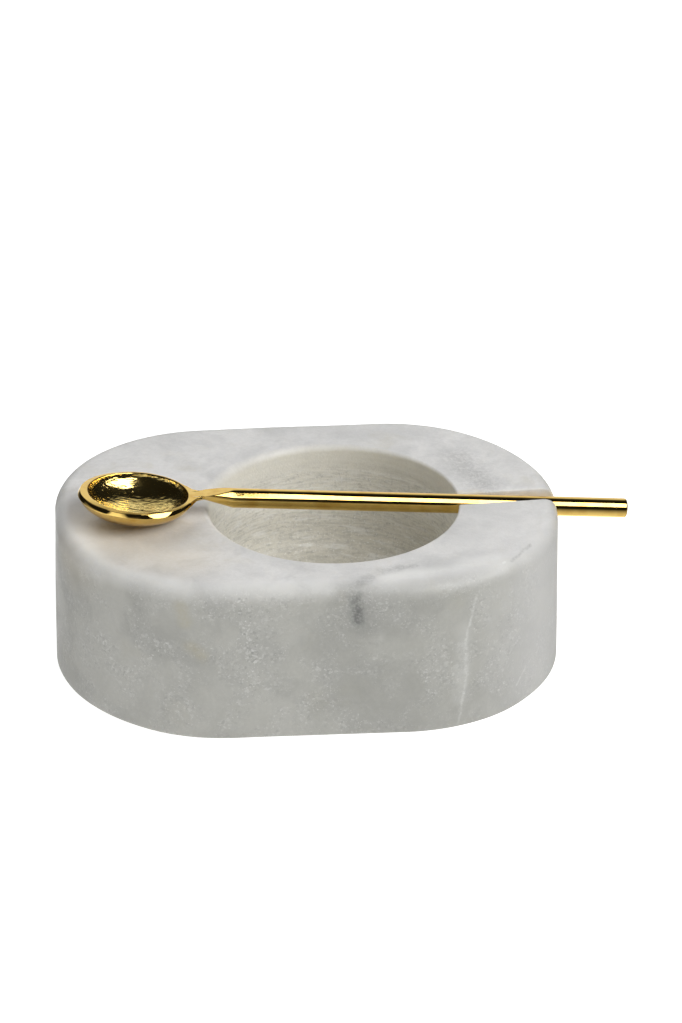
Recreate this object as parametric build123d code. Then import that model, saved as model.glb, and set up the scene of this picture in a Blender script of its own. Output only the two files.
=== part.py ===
from build123d import *
import os
from math import atan2, cos, degrees, radians, sin

# Salt cellar: a marble block with a round well set off-centre, and a loose brass spoon.
# The spoon's bowl stands on the block's top face, and its handle lies in a groove cut
# through the well's right-hand wall. Millimetres, +Z up, origin at the middle of the base.

# Marble block
BLOCK_LENGTH = 102.0
BLOCK_DEPTH = 73.0
BLOCK_HEIGHT = 33.3
FRONT_LEFT_RADIUS = 35.0
FRONT_RIGHT_RADIUS = 33.0
BACK_LEFT_RADIUS = 31.0
BACK_RIGHT_RADIUS = 35.0
TOP_EDGE_ROUND = 2.6
BASE_EDGE_BEVEL = 0.8

# Well: straight wall, eased into a flat floor
WELL_X = 5.6
WELL_Y = -0.4
WELL_RADIUS = 25.4
WELL_DEPTH = 25.0
WELL_FLOOR_BEVEL = 7.0
WELL_RIM_BEVEL = 0.5

# Spoon bowl: an oval of tangent arcs, its rim a little above the handle's axis
BOWL_X = -34.5
BOWL_Y = -4.47
BOWL_HALF_LENGTH = 11.8
BOWL_HALF_WIDTH = 9.95
BOWL_END_RADIUS = 8.7
BOWL_DEPTH = 5.5
BOWL_WALL = 1.2
BOWL_RIM_LIFT = 0.55

# Filed bevel round the rim: how far it goes in, and how far down
BOWL_BEVEL_IN = 0.45
BOWL_BEVEL_DOWN = 0.7

# The bowl's wall leans in by equal steps, from upright at the rim to nearly flat.
# A power above 1 makes a dish, which slopes from its edge on.
BOWL_STEPS = 8
BOWL_LAST_LEAN = 78.0
OUTSIDE_POWER = 1.0
HOLLOW_POWER = 1.7

# Spoon handle: a round rod, filed flat on top where it narrows to the neck
ROD_RADIUS = 2.0
ROD_FULL_AT = 19.7
ROD_END_AT = 100.9
ROD_END_CHAMFER = 0.4
JOINT_AT = 13.6
JOINT_HALF_WIDTH = 1.5
JOINT_THICKNESS = 1.2

# Shoulders of the neck, from the joint to the bowl's rim: (distance, half width, thickness)
NECK_SECTIONS = [
    (JOINT_AT, JOINT_HALF_WIDTH, JOINT_THICKNESS),
    (12.8, 1.65, 1.2),
    (12.2, 2.0, 1.25),
    (BOWL_HALF_LENGTH, 2.6, 1.3),
    (10.9, 3.9, 1.4),
]

# How the spoon lies: turned in plan, tail down, bowl and rod just clear of the stone
SPOON_YAW = 3.6
SPOON_TILT = 5.7
SEAT_GAP = 0.05
GROOVE_WIDTH = 4.6
GROOVE_LIP_ROUND = 0.5


def bowl_levels(first_inset, depth, power):
    """Inset from the rim's outline and drop below the rim, at each step of the wall's lean."""
    levels = []
    for step in range(BOWL_STEPS + 1):
        lean = radians(BOWL_LAST_LEAN * step / BOWL_STEPS)
        inset = first_inset + (BOWL_HALF_WIDTH - first_inset) * (1 - cos(lean))
        drop = depth * (sin(lean) / sin(radians(BOWL_LAST_LEAN))) ** power
        levels.append((inset, drop))
    return levels


# Where the spoon lies, worked out so that the lowest point of its bowl just clears the stone
tilt = radians(SPOON_TILT)
outside_levels = bowl_levels(0, BOWL_DEPTH, OUTSIDE_POWER)
bowl_drop = max((BOWL_HALF_LENGTH - inset) * sin(tilt) + drop * cos(tilt) for inset, drop in outside_levels)
spoon_z = BLOCK_HEIGHT + SEAT_GAP + bowl_drop - BOWL_RIM_LIFT * cos(tilt)
spoon_turn = Rotation(0, 0, SPOON_YAW) * Rotation(0, SPOON_TILT, 0)
spoon_place = Location((BOWL_X, BOWL_Y, spoon_z)) * spoon_turn

# The neck's flat top climbs from the rim to the top of the rod
facet_slope = (ROD_RADIUS - BOWL_RIM_LIFT) / (ROD_FULL_AT - BOWL_HALF_LENGTH)


def facet_height(distance):
    """Height of the neck's flat top above the rod's axis, level with the rim inside the bowl."""
    return BOWL_RIM_LIFT + facet_slope * max(0.0, distance - BOWL_HALF_LENGTH)


def across(distance):
    """Plane square to the handle, its x across the spoon and its y up."""
    return Plane(origin=(distance, 0, 0), x_dir=(0, 1, 0), z_dir=(1, 0, 0))


def block_outline():
    """Plan outline of the block, each corner rounded by its own radius, as ground by hand."""
    outline = Rectangle(BLOCK_LENGTH, BLOCK_DEPTH)
    corners = [
        (-1, -1, FRONT_LEFT_RADIUS),
        (1, -1, FRONT_RIGHT_RADIUS),
        (-1, 1, BACK_LEFT_RADIUS),
        (1, 1, BACK_RIGHT_RADIUS),
    ]
    for side_x, side_y, radius in corners:
        point = (side_x * BLOCK_LENGTH / 2, side_y * BLOCK_DEPTH / 2)
        corner = outline.vertices().sort_by_distance(point)[0]
        outline = fillet(corner, radius)
    return outline


def well_cutter():
    """Solid of the well, from its bevelled floor to above the block's top."""
    height = BLOCK_HEIGHT
    upright = (Align.CENTER, Align.CENTER, Align.MIN)
    cutter = Cylinder(WELL_RADIUS, height, align=upright)
    cutter = chamfer(cutter.edges().group_by(Axis.Z)[0], WELL_FLOOR_BEVEL)
    return Pos(WELL_X, WELL_Y, BLOCK_HEIGHT - WELL_DEPTH) * cutter


def groove_cutter():
    """Round-bottomed slot along the handle, from the middle of the well out past the wall."""
    half = GROOVE_WIDTH / 2
    middle = half - ROD_RADIUS - SEAT_GAP
    start = across(WELL_X - BOWL_X)
    slot = start * Pos(0, middle) * Circle(half)
    slot += start * Pos(0, middle + BLOCK_HEIGHT / 2) * Rectangle(GROOVE_WIDTH, BLOCK_HEIGHT)
    return spoon_place * extrude(slot, BLOCK_LENGTH, dir=(1, 0, 0))


def groove_lips(block):
    """Edges where the groove breaks through the top, the outside and the well's wall."""
    half = GROOVE_WIDTH / 2
    middle = half - ROD_RADIUS - SEAT_GAP
    lips = []
    for edge in block.edges():
        spots = [(spoon_place.inverse() * Location(edge @ share)).position for share in (0, 0.5, 1)]
        right_of_well = all(spot.X > WELL_X - BOWL_X for spot in spots)
        in_slot = all(abs(spot.Y) < half + 0.01 and spot.Z > middle - half - 0.01 for spot in spots)
        along_floor = all(abs(spot.Z - middle) < 0.01 for spot in spots)
        if right_of_well and in_slot and not along_floor:
            lips.append(edge)
    return lips


def marble_block():
    """Block with eased edges, the well and the groove for the handle."""
    block = extrude(block_outline(), BLOCK_HEIGHT)
    block = fillet(block.edges().group_by(Axis.Z)[-1], TOP_EDGE_ROUND)
    block = chamfer(block.edges().group_by(Axis.Z)[0], BASE_EDGE_BEVEL)
    block -= well_cutter()
    rim = block.edges().filter_by(GeomType.CIRCLE).group_by(Axis.Z)[-1]
    rim = rim.filter_by(lambda edge: abs(edge.radius - WELL_RADIUS) < 0.01)
    block = chamfer(rim, WELL_RIM_BEVEL)
    block -= groove_cutter()
    return fillet(groove_lips(block), GROOVE_LIP_ROUND)


def bowl_outline(inset):
    """Oval of four tangent arcs, two round the ends and two along the sides, drawn in by inset."""
    end_x = BOWL_HALF_LENGTH - BOWL_END_RADIUS
    side_y = (end_x**2 - (BOWL_HALF_WIDTH - BOWL_END_RADIUS) ** 2) / (2 * (BOWL_HALF_WIDTH - BOWL_END_RADIUS))
    end = BOWL_END_RADIUS - inset
    side = BOWL_HALF_WIDTH + side_y - inset
    meet = degrees(atan2(side_y, end_x))
    arcs = [
        CenterArc((0, -side_y), side, meet, 180 - 2 * meet),
        CenterArc((-end_x, 0), end, 180 - meet, 2 * meet),
        CenterArc((0, side_y), side, 180 + meet, 180 - 2 * meet),
        CenterArc((end_x, 0), end, -meet, 2 * meet),
    ]
    return make_face(arcs)


def bowl_body(levels):
    """Solid of the bowl's form below the rim, as tapered bands from the rim to the flat bottom."""
    bands = []
    for (inset, drop), (next_inset, next_drop) in zip(levels, levels[1:]):
        lean = degrees(atan2(next_inset - inset, next_drop - drop))
        band = extrude(bowl_outline(inset), next_drop - drop, dir=(0, 0, -1), taper=lean)
        bands.append(Pos(0, 0, BOWL_RIM_LIFT - drop) * band)
    return bands[0] + bands[1:]


def neck_section(distance, half_width, thickness):
    """Flat-topped section of the neck with a half-ellipse underside."""
    top = facet_height(distance)
    flat = Line((-half_width, top), (half_width, top))
    under = EllipticalCenterArc((0, top), half_width, thickness, 180, arc_size=180)
    return across(distance) * make_face([flat, under])


def spoon_bowl():
    """Hollow oval bowl with a bevelled rim, and the shoulders that run into the neck."""
    body = bowl_body(outside_levels)
    top = body.faces().sort_by(Axis.Z)[-1]
    body = chamfer(top.edges(), BOWL_BEVEL_IN, BOWL_BEVEL_DOWN, reference=top)
    hollow = bowl_body(bowl_levels(BOWL_WALL, BOWL_DEPTH - BOWL_WALL, HOLLOW_POWER))
    neck = loft([neck_section(*section) for section in NECK_SECTIONS], ruled=True)
    return spoon_place * (body + neck - hollow)


def spoon_handle():
    """Round rod that tapers to the neck's section, flat on top, with a chamfered tail."""
    full = across(ROD_FULL_AT) * Circle(ROD_RADIUS)
    rod = extrude(full, ROD_END_AT - ROD_FULL_AT, dir=(1, 0, 0))
    rod = chamfer(rod.edges().group_by(Axis.X)[-1], ROD_END_CHAMFER)
    tip = Ellipse(JOINT_HALF_WIDTH, JOINT_THICKNESS)
    taper = loft([across(JOINT_AT) * Pos(0, facet_height(JOINT_AT)) * tip, full])
    facet = Plane((ROD_FULL_AT, 0, ROD_RADIUS), x_dir=(1, 0, facet_slope), z_dir=(-facet_slope, 0, 1))
    return spoon_place * (rod + split(taper, facet, Keep.BOTTOM))


os.makedirs("parts", exist_ok=True)
export_step(marble_block(), "parts/marble_block.step")
export_step(spoon_bowl(), "parts/spoon_bowl.step")
export_step(spoon_handle(), "parts/spoon_handle.step")
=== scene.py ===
"""Looks of a salt cellar: a honed marble block with a round well, and a brass spoon laid across it."""

from math import cos, pi, radians, sin, tan

import bpy
import numpy as np
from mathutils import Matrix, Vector


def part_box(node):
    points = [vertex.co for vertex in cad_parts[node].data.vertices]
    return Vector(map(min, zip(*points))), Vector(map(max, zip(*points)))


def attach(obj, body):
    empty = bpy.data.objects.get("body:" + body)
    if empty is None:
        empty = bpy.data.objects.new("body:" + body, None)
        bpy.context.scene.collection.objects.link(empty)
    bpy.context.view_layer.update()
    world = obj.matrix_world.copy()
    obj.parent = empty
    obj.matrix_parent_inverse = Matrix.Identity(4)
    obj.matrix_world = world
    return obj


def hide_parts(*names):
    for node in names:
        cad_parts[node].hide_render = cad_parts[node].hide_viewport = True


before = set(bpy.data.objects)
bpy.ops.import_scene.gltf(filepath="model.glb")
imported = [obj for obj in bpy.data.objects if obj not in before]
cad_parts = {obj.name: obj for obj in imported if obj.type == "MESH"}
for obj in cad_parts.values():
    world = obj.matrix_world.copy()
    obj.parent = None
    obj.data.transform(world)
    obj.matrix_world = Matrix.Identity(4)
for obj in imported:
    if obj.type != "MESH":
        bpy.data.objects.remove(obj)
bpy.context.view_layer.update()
block_low, block_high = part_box("marble_block")

bl_info = {
    "name": "Salt cellar",
    "version": (1, 0, 0),
    "blender": (4, 5, 0),
    "location": "3D View > Sidebar > Salt cellar",
    "description": "Builds a marble salt cellar with its brass spoon",
    "category": "Object",
}

MM = 0.001

# How finely the block's surface is divided, round it and along its profile
REST_COLUMNS = 400
LIP_COLUMNS = 6
GROOVE_FLOOR_COLUMNS = 15
BASE_ROWS = 3
BASE_ROUND_ROWS = 6
WALL_ROWS = 22
TOP_ROUND_ROWS = 11
TOP_ROWS = 26
RIM_ROWS = 7
WELL_ROWS = 72
FLOOR_ROUND_ROWS = 12
FLOOR_ROWS = 4

# How finely the spoon's surfaces are divided
TIP_COLUMNS = 5
NECK_COLUMNS = 18
RIM_COLUMNS = 110
BODY_ROWS = 24
EDGE_ROWS = 5
BAND_ROWS = 6
HOLLOW_ROWS = 40
ROD_COLUMNS = 180
TAPER_ROWS = 26
ROD_ROWS = 90
TAIL_ROWS = 7

# Hand finish of the stone: shallow waves and a lean left by grinding, edges whose rounds vary, and the
# cutter's rings and one notch in the well's wall. A wobble is a height, a count round the well and a phase.
STONE_SEED = 11
STONE_WAVES = 14
STONE_WAVE_HEIGHT = 0.035 * MM
STONE_WAVE_LENGTHS = (16 * MM, 45 * MM)
WALL_LEAN = 0.15 * MM
TOP_ROUND_WOBBLES = [(0.16, 1, -2.5), (0.06, 3, 1.0), (0.05, 7, 4.0)]
RIM_SOFTEST_AT = radians(140)
RIM_SOFT_EXTRA = 2.8
RING_PITCH = 1.3 * MM
RING_HEIGHT = 0.018 * MM
RING_WOBBLES = [(0.8, 2, 0.0), (0.5, 5, 0.0)]
NOTCH_DEPTH_DOWN = 4.9 * MM
NOTCH_WIDTH = 0.5 * MM
NOTCH_HEIGHT = 0.15 * MM
NOTCH_LEAST = 0.55
NOTCH_CHANGE = 0.45
NOTCH_TURN = 0.6

# Groove: distances of the top's columns beside its lips, how far its floor stays inside its walls, the
# stretch of outline searched for it, and the share of the top edge it cuts before the rim's round shrinks
BESIDE_GROOVE = (3.0 * MM, 1.7 * MM, 0.8 * MM, 0.3 * MM)
GROOVE_FLOOR_EASE = 0.08 * MM
NEAR_GROOVE = 14 * MM
NEAR_STEPS = 2801
GROOVE_CUTS_RIM = 0.15

# How deep the painted shade that darkens the well towards its bottom starts and is full, as shares of the
# well's depth, and the same for the strokes of the cutter, which are rubbed away under the rim
WELL_SHADE_FROM = 0.4
WELL_SHADE_TO = 0.95
STROKES_FROM = 0.12
STROKES_TO = 0.26

# Hand finish of the brass: the unevenness of a cast and buffed bowl
BRASS_SEED = 5
BRASS_WAVES = 18
BRASS_WAVE_HEIGHT = 0.005 * MM
BRASS_WAVE_LENGTHS = (2.2 * MM, 7 * MM)

# Flats filed round the bowl's rim: where each starts or ends, in degrees from the neck, how far the
# bevel goes in there in millimetres, how much it bulges, and the shares of its height that have a row
FILED_AT = (0, 35, 70, 110, 150, 180, 203, 234, 243, 251, 258, 277, 284, 298, 305, 360)
FILED_IN = (0.4, 0.5, 0.35, 0.5, 0.38, 0.4, 0.42, 0.42, 0.12, 0.12, 0.36, 0.34, 0.6, 0.58, 0.34, 0.4)
FILED_ROUND = 0.3
FILED_RISES = (0.0, 0.06, 0.2, 0.4, 0.6, 0.8, 0.94, 1.0)

# Spoon's neck, measured from the bowl's middle along the handle: its end, how near a column lies to count
# as that end, its section, how it flares into the bowl, and the flat on its top
NECK_END = 13.6 * MM
TIP_WITHIN = 0.03 * MM
NECK_HALF_WIDTH = 1.5 * MM
NECK_THICKNESS = 1.2 * MM
NECK_SIDE_DROP = 0.5 * MM
NECK_BEVEL = 0.12 * MM
NECK_BLEND_FROM = 10.0 * MM
NECK_BLEND_TO = 12.0 * MM
FLARE_FROM = 13.4 * MM
FLARE_RATE = 0.39 / MM
FLARE_TO = 10.9 * MM
FACET_FROM = 11.8 * MM
FACET_SOFTNESS = 0.03 * MM

# Spoon's handle: where the rod is full, the faint flat filed along its front with the angle it faces from
# the top, its round tail, and the nose that stays hidden in the neck
ROD_FULL_AT = 19.7 * MM
FLAT_TURN = radians(43.6)
FLAT_DEPTH = 0.07 * MM
FLAT_RUN = 24 * MM
FLAT_SOFTNESS = 0.02 * MM
FLAT_START_RATE = 4
TAIL_ROUND = 0.45 * MM
NOSE_BACK = (0.9 * MM, 0.8 * MM, 0.02 * MM)
NOSE_SCALE = (0.0, 0.85, 0.92)
NOSE_LOWER = 0.1 * MM

# Bowl's rim, from its widest line up a filed bevel to the flat, and over a small round into the hollow
WIDEST_DROP = 0.85 * MM
WIDEST_INSET = 0.02 * MM
RIM_EDGE = 0.08 * MM
HOLLOW_EDGE = 0.2 * MM
RIM_LEAN = 0.1 * MM
RIM_END_LEAN = 0.9
HOLLOW_SHIFT = 0.3 * MM
RIM_END_EXTRA = 0.2 * MM

# Powers of the bowl's outside and of its hollow, where the outside ends, and its gap above the stone
BODY_FULLNESS = 1.95
BODY_LAST_LEAN = radians(78)
HOLLOW_FULLNESS = 0.62
HOLLOW_FLATNESS = 2.7
SEAT_GAP = 0.05 * MM


def linear(code):
    """Linear colour of an sRGB hex value, opaque."""
    share = np.array([int(code[start : start + 2], 16) for start in (0, 2, 4)]) / 255
    low = share / 12.92
    high = ((share + 0.055) / 1.055) ** 2.4
    return (*np.where(share <= 0.04045, low, high).tolist(), 1.0)


def length_setting(name, description, default):
    """A length that a user may change, in metres."""
    return bpy.props.FloatProperty(
        name=name, description=description, default=default, unit="LENGTH", subtype="DISTANCE", precision=4
    )


def angle_setting(name, description, default):
    """An angle that a user may change, in radians."""
    return bpy.props.FloatProperty(
        name=name, description=description, default=default, unit="ROTATION", subtype="ANGLE"
    )


def colour_setting(name, description, code):
    """A colour that a user may change, from its sRGB hex value."""
    return bpy.props.FloatVectorProperty(
        name=name, description=description, default=linear(code), size=4, min=0, max=1, subtype="COLOR"
    )


class BlockSettings(bpy.types.PropertyGroup):
    """Sizes and colours of the marble block."""

    length: length_setting("Length", "Block from end to end", block_high.x - block_low.x)
    depth: length_setting("Depth", "Block from front to back", block_high.y - block_low.y)
    height: length_setting("Height", "Block from base to top", block_high.z - block_low.z)
    front_left_radius: length_setting("Front left", "Plan radius of the front left corner", 35 * MM)
    front_right_radius: length_setting("Front right", "Plan radius of the front right corner", 33 * MM)
    back_left_radius: length_setting("Back left", "Plan radius of the back left corner", 31 * MM)
    back_right_radius: length_setting("Back right", "Plan radius of the back right corner", 35 * MM)
    top_round: length_setting("Top edge", "Round of the top edge", 3 * MM)
    base_round: length_setting("Base edge", "Round of the base edge", 0.8 * MM)
    well_x: length_setting("Well X", "Middle of the well along the block", 5.6 * MM)
    well_y: length_setting("Well Y", "Middle of the well across the block", -0.4 * MM)
    well_radius: length_setting("Well radius", "Radius of the well's wall", 25.4 * MM)
    well_depth: length_setting("Well depth", "Well from the top to its floor", 25 * MM)
    well_floor_round: length_setting("Well floor", "Round between the well's wall and floor", 9 * MM)
    well_rim_round: length_setting("Well rim", "Round of the well's rim at its sharpest", 0.45 * MM)
    groove_width: length_setting("Groove width", "Width of the groove for the handle", 4.6 * MM)
    groove_lip: length_setting("Groove lip", "Round of the groove's edges", 0.5 * MM)
    pale: colour_setting("Pale stone", "Colour of the clearest marble", "F0EFED")
    cloud: colour_setting("Clouded stone", "Colour of the greyer marble", "C8C8C7")
    # Painted shade: this colour darkens and warms the outer wall against the top, standing in for the shade
    # that falls on it
    side: colour_setting("Side stone", "Colour of the warmer, shaded stone of the outside", "B0B0A4")
    vein: colour_setting("Veins", "Colour of the dark veins", "7C7D7A")
    stain: colour_setting("Stains", "Colour of the faint rust in the stone", "C6BEA0")
    # Painted light: this colour lightens and warms the whole well, standing in for the light that bounces
    # round inside it
    painted_well_light: colour_setting("Cut stone", "Colour of the lightened cut stone in the well", "F6F3E7")
    # Painted shade: this colour darkens the well towards its bottom
    deep: colour_setting("Deep stone", "Colour of the rough stone at the bottom of the well", "D4D0C3")
    # Painted reflection: this colour paints the warm light that the brass throws on to the stone
    rubbed: colour_setting("Rubbed stone", "Colour of the stone that the brass has rubbed", "F3E4C6")
    # This colour also paints the highlights along the top edges
    crystal: colour_setting("Crystals", "Colour of the crystals that catch the light", "FBFBF8")


class SpoonSettings(bpy.types.PropertyGroup):
    """Sizes and colours of the brass spoon."""

    place_x: length_setting("Place X", "Bowl's middle along the block", -34.5 * MM)
    place_y: length_setting("Place Y", "Bowl's middle across the block", -4.47 * MM)
    place_z: length_setting("Place Z", "Height of the rod's axis under the bowl's middle", 38.66 * MM)
    yaw: angle_setting("Turn", "Turn of the spoon seen from above", radians(3.6))
    tilt: angle_setting("Tilt", "How far the tail leans down", radians(5.7))
    half_length: length_setting("Bowl half length", "Half the bowl along the handle", 11.7 * MM)
    half_width: length_setting("Bowl half width", "Half the bowl across the handle", 9.85 * MM)
    bowl_depth: length_setting("Bowl depth", "Bowl from its rim to its underside", 5.68 * MM)
    hollow_depth: length_setting("Hollow depth", "Depth of the bowl's inside", 4.1 * MM)
    rim_width: length_setting("Rim width", "Bowl's edge to its hollow along the sides", 1.15 * MM)
    rim_lift: length_setting("Rim lift", "Rim above the rod's axis", 0.55 * MM)
    rod_radius: length_setting("Rod radius", "Radius of the handle", 2 * MM)
    rod_end: length_setting("Rod end", "Bowl's middle to the handle's tail", 100.9 * MM)
    brass: colour_setting("Brass", "Colour of the polished brass", "E7C470")
    scraped: colour_setting("Scraped brass", "Colour of the scraped brass in the hollow", "FBE08E")
    tarnish: colour_setting("Tarnish", "Colour of the browner brass", "C79942")


class StageSettings(bpy.types.PropertyGroup):
    """Floor and camera."""

    floor_colour: colour_setting("Floor colour", "Colour of the floor", "F2F2F0")
    floor_glow: bpy.props.FloatProperty(
        name="Floor glow", description="Brightness of the floor itself", default=0.75
    )
    floor_half: length_setting("Floor size", "Half the side of the floor", 4.0)
    camera_distance: length_setting("Camera distance", "Camera to the block's middle", 0.9)
    camera_lens: bpy.props.FloatProperty(
        name="Lens", description="Focal length of the camera", default=154.87, subtype="DISTANCE_CAMERA"
    )


def empty_tree(owner):
    """Node tree of a material or a world, with no nodes in it."""
    owner.use_nodes = True
    owner.node_tree.nodes.clear()
    return owner.node_tree


def add_node(tree, kind, inputs, output=0, **settings):
    """Adds one node with its settings, sets or links its inputs, and gives back one of its outputs."""
    made = tree.nodes.new(kind)
    for name, value in settings.items():
        setattr(made, name, value)
    for key, value in inputs.items():
        if isinstance(value, bpy.types.NodeSocket):
            tree.links.new(value, made.inputs[key])
        else:
            made.inputs[key].default_value = value
    return made.outputs[output] if len(made.outputs) else made


def closed_mesh(name, grid):
    """Mesh of a surface given as rows of points round a closed loop.

    The first and last rows are each one point, the surface's two poles. Between them each square of
    four neighbours is a face, and the last column joins the first.
    """
    rows, columns = grid.shape[0] - 2, grid.shape[1]
    points = np.concatenate([grid[0, :1], grid[1:-1].reshape(-1, 3), grid[-1, :1]])
    index = 1 + np.arange(rows * columns).reshape(rows, columns)
    after = np.roll(index, -1, axis=1)
    squares = np.stack([index[:-1], after[:-1], after[1:], index[1:]], axis=-1).reshape(-1, 4)
    first = np.stack([np.zeros(columns, int), after[0], index[0]], axis=-1)
    last = np.stack([index[-1], after[-1], np.full(columns, len(points) - 1)], axis=-1)
    mesh = bpy.data.meshes.new(name)
    mesh.from_pydata(points.tolist(), [], first.tolist() + squares.tolist() + last.tolist())
    mesh.polygons.foreach_set("use_smooth", np.ones(len(mesh.polygons), bool))
    mesh.update()
    return mesh


def mark_rows(mesh, name, values, columns):
    """Gives each point of a closed mesh the value of its row, for its material to read."""
    inner = np.repeat(values[1:-1], columns)
    marked = np.concatenate([values[:1], inner, values[-1:]]).astype(np.float32)
    mesh.attributes.new(name, "FLOAT", "POINT").data.foreach_set("value", marked)


def add_piece(mesh, material, body, node):
    """Puts a finished mesh in the scene, riding on its body in place of its CAD node."""
    mesh.materials.append(material)
    piece = bpy.data.objects.new(mesh.name, mesh)
    bpy.context.scene.collection.objects.link(piece)
    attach(piece, body)
    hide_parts(node)


def raised(plan, height):
    """Points from plan positions and heights of the same shape."""
    return np.concatenate([plan, np.broadcast_to(height, plan.shape[:-1])[..., None]], axis=-1)


def ramp(value, start, end):
    """Share of the way from start to end that a value has come, held between 0 and 1."""
    return np.clip((value - start) / (end - start), 0, 1)


def softly_over(value, softness):
    """How far a value is above zero, with the corner at zero softened."""
    return (value + np.sqrt(value**2 + softness**2)) / 2


def quarter_round(rows):
    """Rows of a quarter round, as what is left of its first side and what it has gained of its second."""
    turn = np.linspace(0, pi / 2, rows)[:, None]
    return 1 - np.sin(turn), 1 - np.cos(turn)


def wobble(angle, parts):
    """Sum of sine waves round the well, each given by its height, its count and its phase."""
    return sum(height * np.sin(count * angle + phase) for height, count, phase in parts)


def waves(points, seed, count, height, lengths):
    """Uneven height over a surface: a sum of sine waves of mixed direction, length and phase."""
    draw = np.random.default_rng(seed)
    directions = draw.normal(size=(count, 3))
    directions /= np.linalg.norm(directions, axis=1, keepdims=True)
    spacing = draw.uniform(*lengths, size=count)
    phases = draw.uniform(0, 2 * pi, size=count)
    angle = points @ (directions / spacing[:, None]).T * 2 * pi + phases
    return height * np.sin(angle).sum(axis=-1)


def outline_at(block, stations):
    """Points and outward normals of the block's plan outline at distances along it, and its whole length.

    The outline runs anticlockwise from the back end of the right side. Its normal turns evenly
    through a quarter on each corner and stays still on each side. A point is the corner's centre
    plus the corner's radius along the normal, and on a side both pass evenly to the next corner's.
    """
    back_right = block.back_right_radius
    front = [block.front_left_radius, block.front_right_radius]
    radii = np.array([back_right, block.back_left_radius, *front, back_right])
    side_x = np.array([1, -1, -1, 1, 1])
    side_y = np.array([1, 1, -1, -1, 1])
    centre_x = np.repeat(side_x * (block.length / 2 - radii), 2)
    centre_y = np.repeat(side_y * (block.depth / 2 - radii), 2)
    turns = np.repeat(np.arange(5), 2) + np.tile([0, 1], 5)
    steps = np.zeros(9)
    spans = np.array([block.length, block.depth, block.length, block.depth])
    steps[1::2] = spans - radii[:-1] - radii[1:]
    steps[0::2] = radii * pi / 2
    knots = np.concatenate([[0], np.cumsum(steps)])
    normal_angle = np.interp(stations, knots, turns * pi / 2)
    normals = np.stack([np.cos(normal_angle), np.sin(normal_angle)], axis=-1)
    centres = np.stack([np.interp(stations, knots, centre) for centre in (centre_x, centre_y)], axis=-1)
    radius = np.interp(stations, knots, np.repeat(radii, 2))
    return centres + radius[:, None] * normals, normals, knots[8]


def groove_columns(block):
    """Offsets of the columns across the groove, and each one's depth as a fixed and a following part.

    From one side to the other: the flat top beside the groove, a quarter round for the lip, the wall,
    a half round for the floor, then the same in reverse. Depth is the fixed part, plus the groove's
    full depth at that place times the following part.
    """
    half = block.groove_width / 2
    lip_turn = np.linspace(0, pi / 2, LIP_COLUMNS)
    lip = half + block.groove_lip * (1 - np.sin(lip_turn))
    lip_depth = block.groove_lip * (1 - np.cos(lip_turn))
    sweep = np.linspace(-pi / 2, pi / 2, GROOVE_FLOOR_COLUMNS)
    floor = (half - GROOVE_FLOOR_EASE) * np.sin(sweep)
    floor_depth = half * (np.cos(sweep) - 1)
    beside = half + block.groove_lip + np.array(BESIDE_GROOVE)
    level = np.zeros(len(beside))
    offsets = np.concatenate([-beside, -lip, floor, lip[::-1], beside[::-1]])
    fixed = np.concatenate([level, lip_depth, floor_depth, lip_depth[::-1], level])
    following = np.concatenate([level, lip * 0, floor * 0 + 1, lip * 0, level])
    return offsets, fixed, following


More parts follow.
